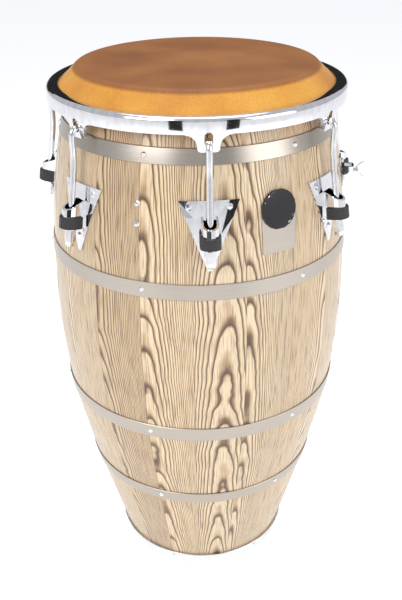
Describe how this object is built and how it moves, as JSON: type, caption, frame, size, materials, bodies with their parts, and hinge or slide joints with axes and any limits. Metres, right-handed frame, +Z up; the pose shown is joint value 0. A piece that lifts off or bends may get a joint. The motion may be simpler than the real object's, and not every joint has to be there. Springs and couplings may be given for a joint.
{
  "type": "tumba",
  "caption": "Tall stave-built hand drum with a hide head, a steel rim pulled down by hooks and nuts, side plates, bands, a base ring and an accessory rod clamp.",
  "frame": {"origin": "on the drum's axis, at the floor", "axes": "+Z up along the drum's axis, -Y out over the first tuning hook, +X to the right of it"},
  "size_m": [0.4486, 0.4386, 0.762],
  "materials": {
    "ash": "satin",
    "hide": "matte",
    "chrome": "polished",
    "band_steel": "brushed",
    "ring_metal": "satin",
    "hoop_steel": "satin",
    "rubber": "matte",
    "enamel": "gloss"
  },
  "bodies": {
    "drum": {"shell": "ash", "band_top": "band_steel", "band_upper": "band_steel", "band_lower": "band_steel", "band_bottom": "band_steel", "base_ring": "ring_metal", "accessory_bracket": "chrome", "bracket_bolt_upper": "chrome", "bracket_bolt_lower": "chrome", "spare_bolt_upper": "chrome", "spare_bolt_lower": "chrome", "badge_plate": "band_steel", "badge_disc": "enamel", "side_plate_1": "chrome", "side_plate_2": "chrome", "side_plate_3": "chrome", "side_plate_4": "chrome", "side_plate_5": "chrome", "side_plate_6": "chrome", "side_plate_7": "chrome", "bracket_guard_1": "rubber", "bracket_guard_2": "rubber", "bracket_guard_3": "rubber", "bracket_guard_4": "rubber", "bracket_guard_5": "rubber", "bracket_guard_6": "rubber", "bracket_guard_7": "rubber", "tuning_washer_1": "chrome", "tuning_washer_2": "chrome", "tuning_washer_3": "chrome", "tuning_washer_4": "chrome", "tuning_washer_5": "chrome", "tuning_washer_6": "chrome", "tuning_washer_7": "chrome"},
    "crown": {"rim": "chrome", "head_skin": "hide", "flesh_hoop": "hoop_steel"},
    "hook_1": {"tuning_hook_1": "chrome"},
    "nut_1": {"tuning_nut_1": "chrome"},
    "hook_2": {"tuning_hook_2": "chrome"},
    "nut_2": {"tuning_nut_2": "chrome"},
    "hook_3": {"tuning_hook_3": "chrome"},
    "nut_3": {"tuning_nut_3": "chrome"},
    "hook_4": {"tuning_hook_4": "chrome"},
    "nut_4": {"tuning_nut_4": "chrome"},
    "hook_5": {"tuning_hook_5": "chrome"},
    "nut_5": {"tuning_nut_5": "chrome"},
    "hook_6": {"tuning_hook_6": "chrome"},
    "nut_6": {"tuning_nut_6": "chrome"},
    "hook_7": {"tuning_hook_7": "chrome"},
    "nut_7": {"tuning_nut_7": "chrome"},
    "clamp": {"clamp_pad": "chrome"},
    "wing": {"wing_bolt": "chrome"}
  },
  "joints": [
    {"name": "rim_tension", "type": "slide", "parent": "drum", "child": "crown", "axis": [0, 0, 1], "range_m": [0, 0.008]},
    {"name": "hook_slide_1", "type": "slide", "parent": "drum", "child": "hook_1", "axis": [0, 0.1564, 0.9877], "range_m": [0, 0.00812]},
    {"name": "nut_turn_1", "type": "hinge", "parent": "drum", "child": "nut_1", "pos_m": [0, -0.21515, 0.5895], "axis": [0, 0.1564, 0.9877], "range_deg": [-2068, 0]},
    {"name": "hook_slide_2", "type": "slide", "parent": "drum", "child": "hook_2", "axis": [-0.1223, 0.0975, 0.9877], "range_m": [0, 0.00812]},
    {"name": "nut_turn_2", "type": "hinge", "parent": "drum", "child": "nut_2", "pos_m": [0.16821, -0.13414, 0.5895], "axis": [-0.1223, 0.0975, 0.9877], "range_deg": [-2068, 0]},
    {"name": "hook_slide_3", "type": "slide", "parent": "drum", "child": "hook_3", "axis": [-0.1525, -0.0348, 0.9877], "range_m": [0, 0.00812]},
    {"name": "nut_turn_3", "type": "hinge", "parent": "drum", "child": "nut_3", "pos_m": [0.20975, 0.04788, 0.5895], "axis": [-0.1525, -0.0348, 0.9877], "range_deg": [-2068, 0]},
    {"name": "hook_slide_4", "type": "slide", "parent": "drum", "child": "hook_4", "axis": [-0.0679, -0.1409, 0.9877], "range_m": [0, 0.00812]},
    {"name": "nut_turn_4", "type": "hinge", "parent": "drum", "child": "nut_4", "pos_m": [0.09335, 0.19384, 0.5895], "axis": [-0.0679, -0.1409, 0.9877], "range_deg": [-2068, 0]},
    {"name": "hook_slide_5", "type": "slide", "parent": "drum", "child": "hook_5", "axis": [0.0679, -0.1409, 0.9877], "range_m": [0, 0.00812]},
    {"name": "nut_turn_5", "type": "hinge", "parent": "drum", "child": "nut_5", "pos_m": [-0.09335, 0.19384, 0.5895], "axis": [0.0679, -0.1409, 0.9877], "range_deg": [-2068, 0]},
    {"name": "hook_slide_6", "type": "slide", "parent": "drum", "child": "hook_6", "axis": [0.1525, -0.0348, 0.9877], "range_m": [0, 0.00812]},
    {"name": "nut_turn_6", "type": "hinge", "parent": "drum", "child": "nut_6", "pos_m": [-0.20975, 0.04788, 0.5895], "axis": [0.1525, -0.0348, 0.9877], "range_deg": [-2068, 0]},
    {"name": "hook_slide_7", "type": "slide", "parent": "drum", "child": "hook_7", "axis": [0.1223, 0.0975, 0.9877], "range_m": [0, 0.00812]},
    {"name": "nut_turn_7", "type": "hinge", "parent": "drum", "child": "nut_7", "pos_m": [-0.16821, -0.13414, 0.5895], "axis": [0.1223, 0.0975, 0.9877], "range_deg": [-2068, 0]},
    {"name": "clamp_slide", "type": "slide", "parent": "drum", "child": "clamp", "axis": [0.9749, -0.2225, 0], "range_m": [-0.00221, 0]},
    {"name": "wing_turn", "type": "hinge", "parent": "clamp", "child": "wing", "pos_m": [0.20278, -0.04628, 0.6207], "axis": [0.9749, -0.2225, 0], "range_deg": [-792, 0]}
  ],
  "couplings": [
    {"joint": "hook_slide_1", "follows": "rim_tension", "ratio": 1.0125},
    {"joint": "nut_turn_1", "follows": "rim_tension", "rad_per_m": -4508.2},
    {"joint": "hook_slide_2", "follows": "rim_tension", "ratio": 1.0125},
    {"joint": "nut_turn_2", "follows": "rim_tension", "rad_per_m": -4508.2},
    {"joint": "hook_slide_3", "follows": "rim_tension", "ratio": 1.0125},
    {"joint": "nut_turn_3", "follows": "rim_tension", "rad_per_m": -4508.2},
    {"joint": "hook_slide_4", "follows": "rim_tension", "ratio": 1.0125},
    {"joint": "nut_turn_4", "follows": "rim_tension", "rad_per_m": -4508.2},
    {"joint": "hook_slide_5", "follows": "rim_tension", "ratio": 1.0125},
    {"joint": "nut_turn_5", "follows": "rim_tension", "rad_per_m": -4508.2},
    {"joint": "hook_slide_6", "follows": "rim_tension", "ratio": 1.0125},
    {"joint": "nut_turn_6", "follows": "rim_tension", "rad_per_m": -4508.2},
    {"joint": "hook_slide_7", "follows": "rim_tension", "ratio": 1.0125},
    {"joint": "nut_turn_7", "follows": "rim_tension", "rad_per_m": -4508.2},
    {"joint": "clamp_slide", "follows": "wing_turn", "m_per_rad": 0.00015915}
  ]
}
